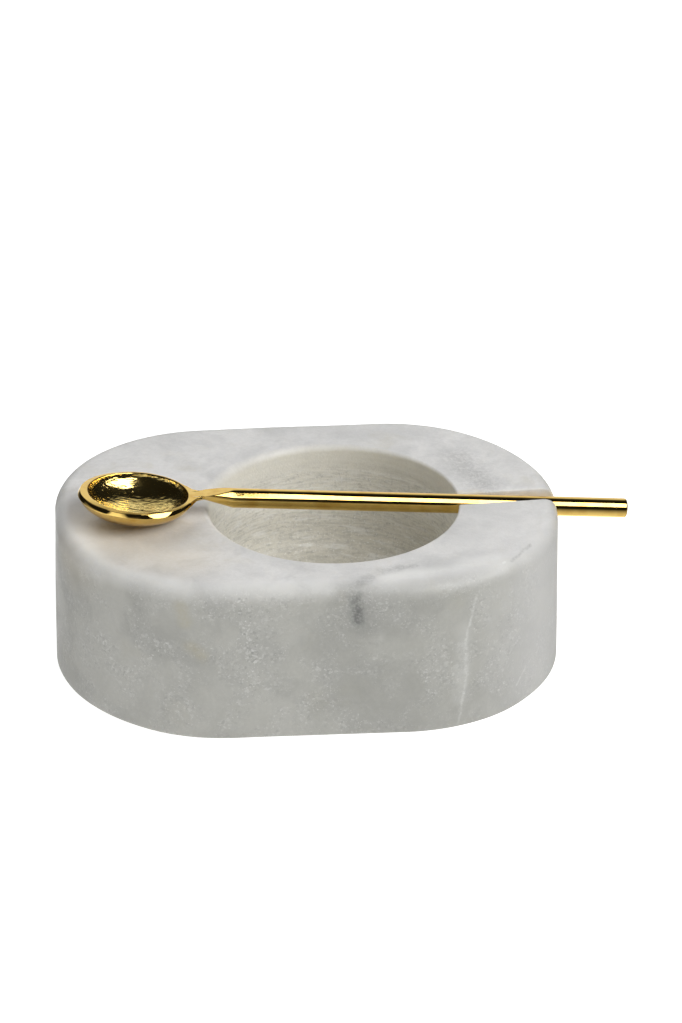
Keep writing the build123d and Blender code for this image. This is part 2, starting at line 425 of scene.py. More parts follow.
def marble_surface(block, spoon):
    """Whole surface of the block, from the middle of its base up its outside and down into the well.

    Each column starts at a point of the outline and ends on the well's wall. Along it lie the base,
    a quarter round, the wall, a quarter round, a straight run over the top, the rim's quarter round,
    the well's wall, a quarter round and the floor. The columns at the groove keep to lines along the
    handle, and their run over the top is lowered to the groove's surface. Gives back also how far each
    row is outer wall, well, the well's deep part, and the part of the well with the cutter's strokes.
    """
    along = np.array([cos(spoon.yaw), sin(spoon.yaw)])
    across = np.array([-sin(spoon.yaw), cos(spoon.yaw)])
    handle = np.array([spoon.place_x, spoon.place_y])
    well = np.array([block.well_x, block.well_y])
    offsets, fixed, following = groove_columns(block)
    perimeter = outline_at(block, np.zeros(1))[2]
    near = perimeter + np.linspace(-NEAR_GROOVE, NEAR_GROOVE, NEAR_STEPS)
    near_offset = (outline_at(block, near)[0] - handle) @ across
    groove_stations = np.interp(offsets, near_offset, near)
    rest_from = groove_stations[-1] - perimeter
    rest_stations = np.linspace(rest_from, groove_stations[0], REST_COLUMNS + 2)[1:-1]
    stations = np.concatenate([rest_stations, groove_stations])
    points, normals, _ = outline_at(block, stations)
    in_groove = np.arange(len(stations)) >= REST_COLUMNS
    rest_zeros = np.zeros(REST_COLUMNS)
    fixed = np.concatenate([rest_zeros, fixed])
    following = np.concatenate([rest_zeros, following])

    # Where each column meets the well: on its own line at the groove, evenly shared out elsewhere
    seen = np.unwrap(np.arctan2(*(points - well).T[::-1]))
    beside_well = (offsets - (well - handle) @ across) / block.well_radius
    groove_angle = spoon.yaw + np.arcsin(beside_well) + 2 * pi
    seen_from = seen[-1] - 2 * pi
    share = (seen[:REST_COLUMNS] - seen_from) / (seen[REST_COLUMNS] - seen_from)
    rest_start = groove_angle[-1] - 2 * pi
    rest_angle = rest_start + share * (groove_angle[0] - rest_start)
    angle = np.concatenate([rest_angle, groove_angle])
    outward = np.stack([np.cos(angle), np.sin(angle)], axis=-1)

    # Edge rounds vary a little, as ground by hand, and shrink where the groove cuts through them
    rim_soft = 0.5 + 0.5 * np.cos(angle - RIM_SOFTEST_AT)
    rim_round = block.well_rim_round * (1 + RIM_SOFT_EXTRA * rim_soft**2)
    top_round = block.top_round * (1 + wobble(angle, TOP_ROUND_WOBBLES))
    floor_line = spoon.place_z - (spoon.rod_radius + SEAT_GAP) / cos(spoon.tilt)

    def lowered(plan):
        """How far each column's run over the top lies below the top, at a place along the groove."""
        full = block.height - floor_line + (plan - handle) @ along * tan(spoon.tilt)
        return fixed + following * full

    cut_share = np.clip(lowered(points) / block.top_round, 0, 1)
    top_round = block.groove_lip + (top_round - block.groove_lip) * (1 - cut_share) ** 2
    least_rim = np.minimum(rim_round, block.groove_lip)
    rim_round = np.where(cut_share > GROOVE_CUTS_RIM, least_rim, rim_round)
    inwards = np.where((in_groove & (cut_share > 0))[:, None], -along, -normals)
    top_start = points + inwards * top_round[:, None]
    top_end = well + outward * (block.well_radius + rim_round)[:, None]
    start_height = block.height - lowered(top_start)
    end_height = block.height - lowered(top_end)

    # Base and outer wall
    base_share = np.linspace(0, 1, BASE_ROWS + 1)[:-1, None, None]
    base = raised(base_share * (points - normals * block.base_round), 0.0)
    left, gained = quarter_round(BASE_ROUND_ROWS)
    base_plan = points - normals * (block.base_round * left)[..., None]
    base_edge = raised(base_plan, block.base_round * gained)
    climb = np.linspace(0, 1, WALL_ROWS + 1)[1:-1, None]
    wall_height = block.base_round + climb * (start_height - top_round - block.base_round)
    wall = raised(np.broadcast_to(points, (*wall_height.shape, 2)), wall_height)
    left, gained = quarter_round(TOP_ROUND_ROWS)
    edge_plan = points + inwards * (top_round * gained)[..., None]
    top_edge = raised(edge_plan, start_height - top_round * left)
    outside = np.concatenate([base, base_edge, wall, top_edge])
    wall_rows = np.ones(BASE_ROUND_ROWS + WALL_ROWS - 1)
    fade = np.concatenate([np.zeros(BASE_ROWS), wall_rows, np.linspace(1, 0, TOP_ROUND_ROWS)])
    push = waves(outside, STONE_SEED, STONE_WAVES, STONE_WAVE_HEIGHT, STONE_WAVE_LENGTHS)
    push += WALL_LEAN * (1 - 2 * outside[..., 2] / block.height)
    outside[..., :2] += normals * (push * fade[:, None])[..., None]

    # Top, with its rows closer together beside the rounded edges
    run = np.linspace(0, pi, TOP_ROWS + 1)[1:-1]
    run = ((1 - np.cos(run)) / 2)[:, None, None]
    top = raised(top_start + run * (top_end - top_start), 0.0)
    top[..., 2] = start_height + run[..., 0] * (end_height - start_height)

    # Well
    left, gained = quarter_round(RIM_ROWS)
    rim_radius = block.well_radius + rim_round * left
    rim = raised(well + outward * rim_radius[..., None], end_height - rim_round * gained)
    floor_height = block.height - block.well_depth
    fall = np.linspace(0, 1, WELL_ROWS + 1)[1:-1, None]
    wall_top = end_height - rim_round
    well_height = wall_top + fall * (floor_height + block.well_floor_round - wall_top)
    down = block.height - well_height
    rings = RING_HEIGHT * np.sin(2 * pi * down / RING_PITCH + wobble(angle, RING_WOBBLES))
    notch = NOTCH_HEIGHT * np.exp(-(((down - NOTCH_DEPTH_DOWN) / NOTCH_WIDTH) ** 2))
    notch *= NOTCH_LEAST + NOTCH_CHANGE * np.sin(2 * angle + NOTCH_TURN)
    cut = (rings + notch) * np.sin(pi * fall) ** 0.5 * np.where(in_groove & (cut_share > 0), 0, 1)
    well_wall = raised(well + outward * (block.well_radius + cut)[..., None], well_height)
    left, gained = quarter_round(FLOOR_ROUND_ROWS)
    bend_radius = block.well_radius - block.well_floor_round * gained
    bend_height = floor_height + block.well_floor_round * left
    bend = raised(well + outward * (bend_radius + 0 * angle)[..., None], bend_height)
    floor_share = np.linspace(1, 0, FLOOR_ROWS + 1)[1:, None, None]
    floor_radius = block.well_radius - block.well_floor_round
    floor = raised(well + outward * floor_share * floor_radius, floor_height)
    inside = np.concatenate([rim, well_wall, bend, floor])
    grid = np.concatenate([outside, top, inside])

    # How far each row is one part or another
    wall_share = np.concatenate([fade, np.zeros(len(top) + len(inside))])
    not_well = np.zeros(len(outside) + len(top))
    rim_fade = np.linspace(0, 1, RIM_ROWS)
    well_share = np.concatenate([not_well, rim_fade, np.ones(len(inside) - RIM_ROWS)])
    deepness = (block.height - grid[..., 2].mean(axis=1)) / block.well_depth
    well_shade_share = well_share * ramp(deepness, WELL_SHADE_FROM, WELL_SHADE_TO)
    stroke_share = well_share * ramp(deepness, STROKES_FROM, STROKES_TO)
    return grid, {"wall": wall_share, "well": well_share, "deep": well_shade_share, "cut": stroke_share}


def spoon_to_block(spoon, local):
    """Carries points from the spoon's own frame, along, across and up, to where it lies on the block."""
    tilt, yaw = spoon.tilt, spoon.yaw
    along = np.array([cos(yaw) * cos(tilt), sin(yaw) * cos(tilt), -sin(tilt)])
    across = np.array([-sin(yaw), cos(yaw), 0.0])
    up = np.array([cos(yaw) * sin(tilt), sin(yaw) * sin(tilt), cos(tilt)])
    place = np.array([spoon.place_x, spoon.place_y, spoon.place_z])
    return place + local @ np.stack([along, across, up])


def facet_height(spoon, distance):
    """Height of the neck's flat top above the rod's axis: level at the rim, then a straight climb."""
    slope = (spoon.rod_radius - spoon.rim_lift) / (ROD_FULL_AT - FACET_FROM)
    return spoon.rim_lift + slope * np.maximum(0, distance - FACET_FROM)


def bowl_outline(spoon):
    """Plan outline of the bowl with the neck drawn out of it, and each column's angle round the bowl.

    Half of it runs from the neck's end along the neck, whose side is a parabola that leaves the
    straight neck and meets the bowl's ellipse, and round the ellipse to the far end. The other half
    is its mirror image.
    """
    tip_width = np.linspace(0, NECK_HALF_WIDTH, TIP_COLUMNS)
    tip = np.stack([np.full(TIP_COLUMNS, NECK_END), tip_width], axis=-1)
    distance = np.linspace(NECK_END, FLARE_TO, NECK_COLUMNS + 1)[1:]
    flare = NECK_HALF_WIDTH + FLARE_RATE * np.maximum(0, FLARE_FROM - distance) ** 2
    neck = np.stack([distance, flare], axis=-1)
    join = np.arcsin(flare[-1] / spoon.half_width)
    angles = np.linspace(join, pi, RIM_COLUMNS + 1)[1:]
    oval = np.stack([spoon.half_length * np.cos(angles), spoon.half_width * np.sin(angles)], axis=-1)
    start = np.concatenate([tip, neck])
    walked = np.concatenate([[0], np.cumsum(np.hypot(*np.diff(start, axis=0).T))])
    half_angle = np.concatenate([join * walked / walked[-1], angles])
    half = np.concatenate([start, oval])
    outline = np.concatenate([half, half[-2:0:-1] * [1, -1]])
    return outline, np.concatenate([half_angle, 2 * pi - half_angle[-2:0:-1]])


def bowl_surface(spoon):
    """Whole surface of the bowl and its neck, from under the bowl up its outside and down its hollow.

    The outside is half an ellipsoid: with share s of the half axes, the drop below the rim is the
    depth times (1 - s^n)^(1/n). The hollow is a pan, whose drop is its depth times (1 - s^k)^m.
    Between them lie a bevel filed in uneven flats, a small round, the rim and another small round. The
    rim rises a little towards the hollow, most at the far end, and runs out over the neck. Gives back
    also the share of each row that is hollow.
    """
    outline, angle = bowl_outline(spoon)
    tangent = np.roll(outline, -1, axis=0) - np.roll(outline, 1, axis=0)
    tangent /= np.linalg.norm(tangent, axis=1, keepdims=True)
    outward = np.stack([tangent[:, 1], -tangent[:, 0]], axis=-1)
    around = np.stack([np.cos(angle), np.sin(angle)], axis=-1)
    axes = np.array([spoon.half_length, spoon.half_width])
    top = facet_height(spoon, outline[:, 0])
    on_neck = ramp(outline[:, 0], NECK_BLEND_FROM, NECK_BLEND_TO)

    # Underside, kept a little long towards the bottom
    share = np.sin(np.linspace(0, BODY_LAST_LEAN, BODY_ROWS))
    longer = (spoon.half_length - spoon.half_width) * share * (1 - share)
    reach = axes * share[:, None] + np.stack([longer, 0 * longer], axis=-1)
    drop = spoon.bowl_depth * (1 - share**BODY_FULLNESS) ** (1 / BODY_FULLNESS)
    body = raised(reach[:, None] * around, (spoon.rim_lift - drop)[:, None])

    # Bevel: each flat goes in by its own amount, and the bevel passes evenly from one to the next
    filed = MM * np.interp(np.degrees(angle), FILED_AT, FILED_IN)
    bevel = filed + on_neck * (NECK_BEVEL - filed)
    round_share = np.clip(1 - (outline[:, 1] / NECK_HALF_WIDTH) ** 2, 0, 1) ** 0.5
    at_tip = outline[:, 0] > NECK_END - TIP_WITHIN
    neck_drop = NECK_SIDE_DROP + np.where(at_tip, (NECK_THICKNESS - NECK_SIDE_DROP) * round_share, 0)
    side_drop = WIDEST_DROP + on_neck * (neck_drop - WIDEST_DROP)
    rise = np.array(FILED_RISES)[:, None]
    drawn_in = rise - FILED_ROUND * rise * (1 - rise)
    bevel_plan = outline - outward * (WIDEST_INSET + drawn_in * bevel)[..., None]
    flank = raised(bevel_plan, top - side_drop + rise * (side_drop - RIM_EDGE))
    left, gained = quarter_round(EDGE_ROWS)
    edge_plan = bevel_plan[-1] - outward * (RIM_EDGE * gained[1:])[..., None]
    edge = raised(edge_plan, top - RIM_EDGE * left[1:])

    # Flat rim, wider at the far end, and the hollow
    far_end = np.clip(-np.cos(angle), 0, 1) ** 2
    centre = np.array([HOLLOW_SHIFT, 0])
    mouth_axes = axes - spoon.rim_width - HOLLOW_SHIFT * np.array([1, 0])
    mouth = (mouth_axes - RIM_END_EXTRA * far_end[:, None]) * around
    run = np.linspace(0, 1, BAND_ROWS + 1)[1:, None, None]
    band_plan = edge_plan[-1] + run * (centre + mouth + around * HOLLOW_EDGE - edge_plan[-1])
    lean = RIM_LEAN * (1 + RIM_END_LEAN * far_end)
    band = raised(band_plan, facet_height(spoon, band_plan[..., 0]) + lean * run[..., 0])
    turn = np.linspace(0, pi / 4, EDGE_ROWS)[1:, None]
    lip_plan = centre + mouth + around * (HOLLOW_EDGE * (1 - np.sin(turn) / sin(pi / 4)))[..., None]
    lip_drop = HOLLOW_EDGE * (1 - np.cos(turn)) / sin(pi / 4)
    lip = raised(lip_plan, spoon.rim_lift + lean - lip_drop)
    share = np.cos(np.linspace(0, pi / 2, HOLLOW_ROWS))[1:]
    pan = (1 - share**HOLLOW_FLATNESS) ** HOLLOW_FULLNESS
    sunk = lip_drop[-1] + (spoon.hollow_depth - lip_drop[-1]) * pan
    hollow_height = spoon.rim_lift - sunk[:, None] + lean * share[:, None] ** 2
    hollow = raised(centre + share[:, None, None] * mouth, hollow_height)

    grid = np.concatenate([body, flank, edge, band, lip, hollow])
    grid[..., 2] += waves(grid, BRASS_SEED, BRASS_WAVES, BRASS_WAVE_HEIGHT, BRASS_WAVE_LENGTHS)
    in_hollow = np.concatenate([np.zeros(len(grid) - len(hollow)), np.ones(len(hollow))])
    return spoon_to_block(spoon, grid), in_hollow


def handle_surface(spoon):
    """Whole surface of the handle, from a nose hidden in the neck to the rounded tail.

    A section is an ellipse that grows evenly into the rod's circle. Where it rises above the neck's
    flat top it is cut off level, which leaves a flat that narrows to nothing as the rod becomes round.
    A fainter flat, filed along the front, runs out further along the rod.
    """
    nose = NECK_END - np.array(NOSE_BACK)
    taper = np.linspace(NECK_END, ROD_FULL_AT, TAPER_ROWS)
    tail_turn = np.linspace(0, pi / 2, TAIL_ROWS)
    rod = np.linspace(ROD_FULL_AT, spoon.rod_end - TAIL_ROUND, ROD_ROWS)[1:-1]
    tail = spoon.rod_end - TAIL_ROUND * (1 - np.sin(tail_turn))
    distance = np.concatenate([nose, taper, rod, tail, [spoon.rod_end]])
    tail_scale = 1 - TAIL_ROUND / spoon.rod_radius * (1 - np.cos(tail_turn))
    scale = np.concatenate([NOSE_SCALE, np.ones(len(taper) + len(rod)), tail_scale, [0]])
    grown = ramp(distance, NECK_END, ROD_FULL_AT)
    half_width = (NECK_HALF_WIDTH + grown * (spoon.rod_radius - NECK_HALF_WIDTH)) * scale
    thickness = (NECK_THICKNESS + grown * (spoon.rod_radius - NECK_THICKNESS)) * scale
    middle = facet_height(spoon, NECK_END) * (1 - grown)
    around = np.linspace(0, 2 * pi, ROD_COLUMNS, endpoint=False)
    across = -half_width[:, None] * np.sin(around)
    height = middle[:, None] + thickness[:, None] * np.cos(around)
    ceiling = facet_height(spoon, distance) - NOSE_LOWER * (1 - scale)
    height = height - softly_over(height - ceiling[:, None], FACET_SOFTNESS)

    # The flat along the front: whatever reaches past it, measured square to it, is pressed back on to it
    up, front = cos(FLAT_TURN), sin(FLAT_TURN)
    fade = grown * (1 - ramp(distance, ROD_FULL_AT, ROD_FULL_AT + FLAT_RUN))
    furthest = np.hypot(half_width * front, thickness * up) + middle * up
    facing = height * up - across * front
    past = facing - (furthest - FLAT_DEPTH * fade)[:, None]
    started = np.minimum(1, FLAT_START_RATE * fade)[:, None]
    pressed = softly_over(past, FLAT_SOFTNESS) * started
    height = height - pressed * up
    across = across + pressed * front
    local = np.stack([np.broadcast_to(distance[:, None], height.shape), across, height], axis=-1)
    return spoon_to_block(spoon, local)


def mark_mask(tree, point, start, end, reach):
    """Mask of a mark in the stone: 1 on the line from start to end, falling smoothly to 0 at its reach.

    Start, end and reach are in millimetres.
    """
    start = Vector(start) * MM
    span = Vector(end) * MM - start
    offset = add_node(tree, "ShaderNodeVectorMath", {0: point, 1: start}, operation="SUBTRACT")
    along = {0: offset, 1: span / span.length_squared}
    share = add_node(tree, "ShaderNodeVectorMath", along, "Value", operation="DOT_PRODUCT")
    held = add_node(tree, "ShaderNodeClamp", {"Value": share})
    nearest = add_node(tree, "ShaderNodeVectorMath", {0: span, "Scale": held}, operation="SCALE")
    away = add_node(tree, "ShaderNodeVectorMath", {0: offset, 1: nearest}, "Value", operation="DISTANCE")
    fall = {"Value": away, "From Min": 0.0, "From Max": reach * MM, "To Min": 1.0, "To Max": 0.0}
    return add_node(tree, "ShaderNodeMapRange", fall, interpolation_type="SMOOTHSTEP")


# How far each place bends the stone's patterns: size of its noise and its reach, in millimetres
STONE_BENDS = {"drifted": (16, 14), "nudged": (2.2, 1.0)}

# Patterns in the stone: place, size of a patch in millimetres, detail and roughness of its noise, and
# the values of the noise between which the pattern goes from none to full
STONE_PATTERNS = {
    "broad clouds": ("drifted", 34, 5.0, 0.6, 0.36, 0.66),
    "middle clouds": ("drifted", 15, 4.0, 0.58, 0.4, 0.62),
    "small clouds": ("drifted", 8, 5.0, 0.62, 0.38, 0.68),
    "streaks": ("slanted", 5, 4.0, 0.6, 0.48, 0.74),
    "rust": ("drifted", 12, 4.0, 0.6, 0.56, 0.74),
    "grit": ("plain", 0.7, 4.0, 0.7, 0.34, 0.62),
    "crystal zones": ("drifted", 8, 3.0, 0.55, 0.36, 0.6),
    "specks": ("plain", 0.32, 2.0, 0.6, 0.58, 0.72),
    "pits": ("plain", 0.4, 3.0, 0.6, 0.2, 0.8),
    "scratches": ("level", 0.45, 3.0, 0.6, 0.4, 0.68),
    "pale strokes": ("level", 0.8, 3.0, 0.6, 0.5, 0.7),
    "sheen": ("drifted", 5, 4.0, 0.6, 0.3, 0.7),
}

# Layers of colour laid over the pale stone, in order: pattern, the pattern it keeps to, strength, colour
STONE_LAYERS = [
    ("broad clouds", "everywhere", 0.5, "cloud"),
    ("small clouds", "everywhere", 0.35, "cloud"),
    ("streaks", "everywhere", 0.3, "cloud"),
    ("rust", "everywhere", 0.2, "stain"),
    # Painted shade over the outer wall, fading out over the top edge's round
    ("wall", "everywhere", 0.62, "side"),
    ("middle clouds", "wall", 0.22, "vein"),
    ("small clouds", "wall", 0.12, "pale"),
    # Painted light over the whole well, fading in over the rim
    ("well", "everywhere", 0.75, "painted_well_light"),
    # Painted shade, darker towards the bottom of the well
    ("deep", "everywhere", 0.85, "deep"),
    ("scratches", "cut", 0.24, "vein"),
    ("pale strokes", "cut", 0.45, "crystal"),
    ("dull crystals", "cut", 0.2, "vein"),
    ("specks", "cut", 0.8, "crystal"),
    ("grit", "everywhere", 0.07, "vein"),
    ("specks", "crystal zones", 0.2, "crystal"),
    ("dull crystals", "grainy", 0.38, "vein"),
    ("bright crystals", "grainy", 0.42, "crystal"),
    ("specks", "grainy", 0.6, "crystal"),
]

# Grainy stone on the outside: start, end and reach in millimetres, and how grainy the rest is
STONE_GRAINS = [
    ((-44.1, -22.3, 21.0), (-39.5, -27.4, 9.0), 5.5),
    ((-37.5, -29.1, 11.3), (-29.6, -33.7, 20.5), 3.0),
    ((-14.7, -36.5, 30.5), (-12.8, -36.5, 17.0), 4.5),
    ((-14.2, -36.5, 16.1), (-8.5, -36.5, 5.8), 4.0),
    ((37.5, -30.1, 29.4), (40.7, -27.5, 15.3), 4.5),
    ((40.7, -27.5, 15.3), (38.0, -29.6, 6.0), 4.5),
]
GRAIN_ELSEWHERE = 0.5

# Marks that stand out in the stone, and marks of painted light on it: start, end and reach in millimetres,
# strength, the share of it that is left between the grains, and colour
STONE_MARKS = [
    # Painted reflection: the brass's warm light, on the top in front of the bowl and on the groove's back
    # wall
    ((-45.0, -14.0, 33.3), (-26.0, -22.0, 33.3), 13.0, 0.32, 0.8, "rubbed"),
    ((31.0, 2.3, 32.4), (51.0, 3.6, 31.0), 1.7, 0.7, 0.8, "rubbed"),
    ((46.0, -20.0, 26.0), (46.0, -20.0, 8.0), 25.0, 0.55, 0.9, "pale"),
    # Painted highlights along the rounded top edge, at the left end and round the front
    ((-50.0, 4.0, 32.0), (-43.0, -23.5, 33.0), 5.0, 0.6, 0.8, "crystal"),
    ((-39.5, -26.5, 33.1), (-26.0, -33.5, 33.3), 3.8, 0.45, 0.7, "crystal"),
    ((-21.0, -34.1, 33.3), (2.0, -34.3, 33.3), 3.4, 0.35, 0.6, "crystal"),
    ((14.0, -32.8, 33.3), (36.0, -27.2, 33.3), 4.2, 0.6, 0.6, "crystal"),
    ((7.5, -36.5, 31.0), (7.7, -36.5, 26.0), 2.2, 0.7, 0.1, "vein"),
    ((7.7, -36.5, 27.6), (7.9, -36.5, 26.0), 1.5, 0.85, 0.4, "vein"),
    ((6.8, -36.5, 31.5), (8.8, -36.5, 25.0), 5.0, 0.28, 0.6, "vein"),
    ((8.6, -33.9, 33.3), (10.9, -32.2, 33.3), 2.2, 0.34, 0.5, "vein"),
    ((13.0, -30.3, 33.3), (16.3, -29.1, 33.3), 2.2, 0.34, 0.5, "vein"),
    ((17.7, -28.7, 33.3), (19.8, -28.2, 33.3), 1.2, 0.3, 0.4, "vein"),
    ((17.0, -28.6, 33.3), (26.0, -28.2, 33.3), 3.0, 0.16, 0.7, "vein"),
    ((39.1, -26.9, 33.0), (43.4, -20.9, 33.0), 0.6, 0.35, 0.3, "vein"),
    ((32.5, 18.0, 33.3), (37.0, 5.0, 33.3), 6.0, 0.34, 0.35, "vein"),
    ((-27.0, -34.7, 29.5), (-26.2, -35.0, 26.1), 2.4, 0.4, 0.5, "stain"),
    ((-25.0, -35.2, 20.5), (-23.0, -35.7, 19.0), 2.4, 0.4, 0.5, "stain"),
    ((29.0, -34.6, 22.0), (28.4, -34.8, 7.0), 3.0, 0.2, 0.6, "crystal"),
    ((31.5, -33.6, 28.9), (30.3, -34.1, 24.0), 0.6, 0.35, 0.1, "crystal"),
    ((30.3, -34.1, 24.0), (29.3, -34.5, 19.5), 0.6, 0.35, 0.1, "crystal"),
    ((29.3, -34.5, 19.5), (29.6, -34.4, 11.5), 0.9, 0.35, 0.1, "crystal"),
    ((29.6, -34.4, 11.5), (27.9, -35.0, 1.0), 0.6, 0.4, 0.1, "crystal"),
    ((42.5, -25.6, 7.8), (40.5, -27.6, 5.0), 0.45, 0.4, 0.1, "crystal"),
    ((31.8, -32.2, 33.3), (32.1, -32.0, 33.3), 0.5, 1.0, 0.5, "crystal"),
    ((37.2, -28.0, 33.3), (37.6, -27.7, 33.3), 0.5, 1.0, 0.5, "crystal"),
]

# How the streaks lean and are drawn out, and how the cutter's strokes are drawn out level
STREAK_TURN = (0.3, 0.5, 0.2)
STREAK_STRETCH = (1.0, 1.0, 0.3)
STROKE_STRETCH = (0.15, 0.15, 1.0)

# Cut crystals: their size, and the chances from which one is bright and below which one is dull
CRYSTAL_SIZE = 0.5 * MM
BRIGHT_FROM = 0.8
DULL_BELOW = 0.2

# Finish of the stone: its sheen, the depth of its pits, how much the cutter's strokes count beside them,
# and how the light spreads in it
STONE_SMOOTHEST = 0.38
STONE_ROUGHEST = 0.52
STONE_RELIEF = 0.04 * MM
STONE_RELIEF_SHARE = 0.6
STROKE_RELIEF = 1.2
STONE_IOR = 1.49
STONE_SPREAD = 0.35
STONE_SPREAD_LENGTH = 2 * MM
STONE_SPREAD_COLOURS = (1.0, 0.95, 0.85)


def honed_marble(block):
    """Honed white marble: rubbed smooth with fine grit and left unpolished.

    To the eye it is softly clouded in grey, with a few marks, a sparkle of cut crystals about half a
    millimetre across, and a satin sheen that spreads the light. The well keeps the level strokes of
    the cutter. Its colour also holds painted light and shade: painted shade on the outer wall and
    towards the bottom of the well, painted light over the well, painted highlights along the top edges,
    and the brass's warm reflection painted on the top and in the groove.
    """
    material = bpy.data.materials.new("honed_white_marble")
    tree = empty_tree(material)
    point = add_node(tree, "ShaderNodeTexCoord", {}, "Object")

    # Places to read the patterns at: as they are, bent by slow noise, slanted and drawn out, and level
    places = {"plain": point}
    for name, (size, reach) in STONE_BENDS.items():
        noise = {"Vector": point, "Scale": 1 / (size * MM), "Detail": 3.0}
        drift = add_node(tree, "ShaderNodeTexNoise", noise, "Color")
        middle = {0: drift, 1: (0.5, 0.5, 0.5)}
        centred = add_node(tree, "ShaderNodeVectorMath", middle, operation="SUBTRACT")
        widened = {0: centred, "Scale": reach * MM}
        bend = add_node(tree, "ShaderNodeVectorMath", widened, operation="SCALE")
        places[name] = add_node(tree, "ShaderNodeVectorMath", {0: point, 1: bend}, operation="ADD")
    slant = {"Vector": places["drifted"], "Rotation": STREAK_TURN, "Scale": STREAK_STRETCH}
    places["slanted"] = add_node(tree, "ShaderNodeMapping", slant)
    places["level"] = add_node(tree, "ShaderNodeMapping", {"Vector": point, "Scale": STROKE_STRETCH})

    masks = {"everywhere": 1.0}
    for name in ("wall", "well", "deep", "cut"):
        masks[name] = add_node(tree, "ShaderNodeAttribute", {}, "Fac", attribute_name=name)
    for name, (place, size, detail, rough, low, high) in STONE_PATTERNS.items():
        noise = {"Vector": places[place], "Scale": 1 / (size * MM), "Detail": detail, "Roughness": rough}
        value = add_node(tree, "ShaderNodeTexNoise", noise)
        spread = {"Value": value, "From Min": low, "From Max": high}
        masks[name] = add_node(tree, "ShaderNodeMapRange", spread, interpolation_type="SMOOTHSTEP")

    # Cut crystals: each cell of a random pattern has one brightness, and only the extremes show
    cell = {"Vector": places["nudged"], "Scale": 1 / CRYSTAL_SIZE}
    cells = add_node(tree, "ShaderNodeTexVoronoi", cell, "Color")
    chance = add_node(tree, "ShaderNodeSeparateColor", {0: cells})
    bright = {"Value": chance, "From Min": BRIGHT_FROM, "From Max": 1.0}
    masks["bright crystals"] = add_node(tree, "ShaderNodeMapRange", bright)
    dull = {"Value": chance, "From Min": DULL_BELOW, "From Max": 0.0}
    masks["dull crystals"] = add_node(tree, "ShaderNodeMapRange", dull)

    plain_wall = {0: masks["wall"], 1: GRAIN_ELSEWHERE}
    grainy = add_node(tree, "ShaderNodeMath", plain_wall, operation="MULTIPLY")
    for start, end, reach in STONE_GRAINS:
        zone = mark_mask(tree, places["nudged"], start, end, reach)
        grainy = add_node(tree, "ShaderNodeMath", {0: grainy, 1: zone}, operation="MAXIMUM")
    patchy = {0: grainy, 1: masks["crystal zones"]}
    masks["grainy"] = add_node(tree, "ShaderNodeMath", patchy, operation="MULTIPLY")

    colour = tuple(block.pale)
    for mask, zone, strength, tint in STONE_LAYERS:
        share = add_node(tree, "ShaderNodeMath", {0: masks[mask], 1: masks[zone]}, operation="MULTIPLY")
        share = add_node(tree, "ShaderNodeMath", {0: share, 1: strength}, operation="MULTIPLY")
        layer = {0: share, 6: colour, 7: tuple(getattr(block, tint))}
        colour = add_node(tree, "ShaderNodeMix", layer, 2, data_type="RGBA")
    for start, end, reach, strength, least, tint in STONE_MARKS:
        mask = mark_mask(tree, places["nudged"], start, end, reach)
        broken = {"Value": masks["grit"], "To Min": least * strength, "To Max": strength}
        grit = add_node(tree, "ShaderNodeMapRange", broken)
        share = add_node(tree, "ShaderNodeMath", {0: mask, 1: grit}, operation="MULTIPLY")
        layer = {0: share, 6: colour, 7: tuple(getattr(block, tint))}
        colour = add_node(tree, "ShaderNodeMix", layer, 2, data_type="RGBA")

    sheen = {"Value": masks["sheen"], "To Min": STONE_SMOOTHEST, "To Max": STONE_ROUGHEST}
    roughness = add_node(tree, "ShaderNodeMapRange", sheen)
    scratched = {0: masks["scratches"], 1: masks["cut"]}
    strokes = add_node(tree, "ShaderNodeMath", scratched, operation="MULTIPLY")
    relief = {0: strokes, 1: STROKE_RELIEF, 2: masks["pits"]}
    height = add_node(tree, "ShaderNodeMath", relief, operation="MULTIPLY_ADD")
    raised_by = {"Height": height, "Strength": STONE_RELIEF_SHARE, "Distance": STONE_RELIEF}
    bump = add_node(tree, "ShaderNodeBump", raised_by)
    surface = {
        "Base Color": colour,
        "Roughness": roughness,
        "IOR": STONE_IOR,
        "Normal": bump,
        "Subsurface Weight": STONE_SPREAD,
        "Subsurface Radius": STONE_SPREAD_COLOURS,
        "Subsurface Scale": STONE_SPREAD_LENGTH,
    }
    shader = add_node(tree, "ShaderNodeBsdfPrincipled", surface)
    add_node(tree, "ShaderNodeOutputMaterial", {"Surface": shader})
    return material


# Polish of the brass: size of its patches, the values of their noise between which the polish thins, how
# brown it gets there, and its roughness between two other values of the noise
PATCH_SIZE = 3 * MM
THIN_FROM = 0.45
THIN_TO = 0.72
THIN_SHARE = 0.5
GLOSS_FROM = 0.3
GLOSS_TO = 0.7
BRASS_GLOSSIEST = 0.03
BRASS_DULLEST = 0.07

# Scraped hollow: what it adds to the roughness, the width, turn and drawing out of its strokes and their
# depth, and the grain of the buff elsewhere, with its share of that depth
SCRAPED_ROUGHNESS = 0.08
SCRAPE_WIDTH = 0.5 * MM
SCRAPE_TURN = (0.0, 0.0, 0.6)
SCRAPE_STRETCH = (0.25, 1.0, 1.0)
SCRAPE_DEPTH = 0.1 * MM
BUFF_SIZE = 0.5 * MM
BUFF_SHARE = 0.04


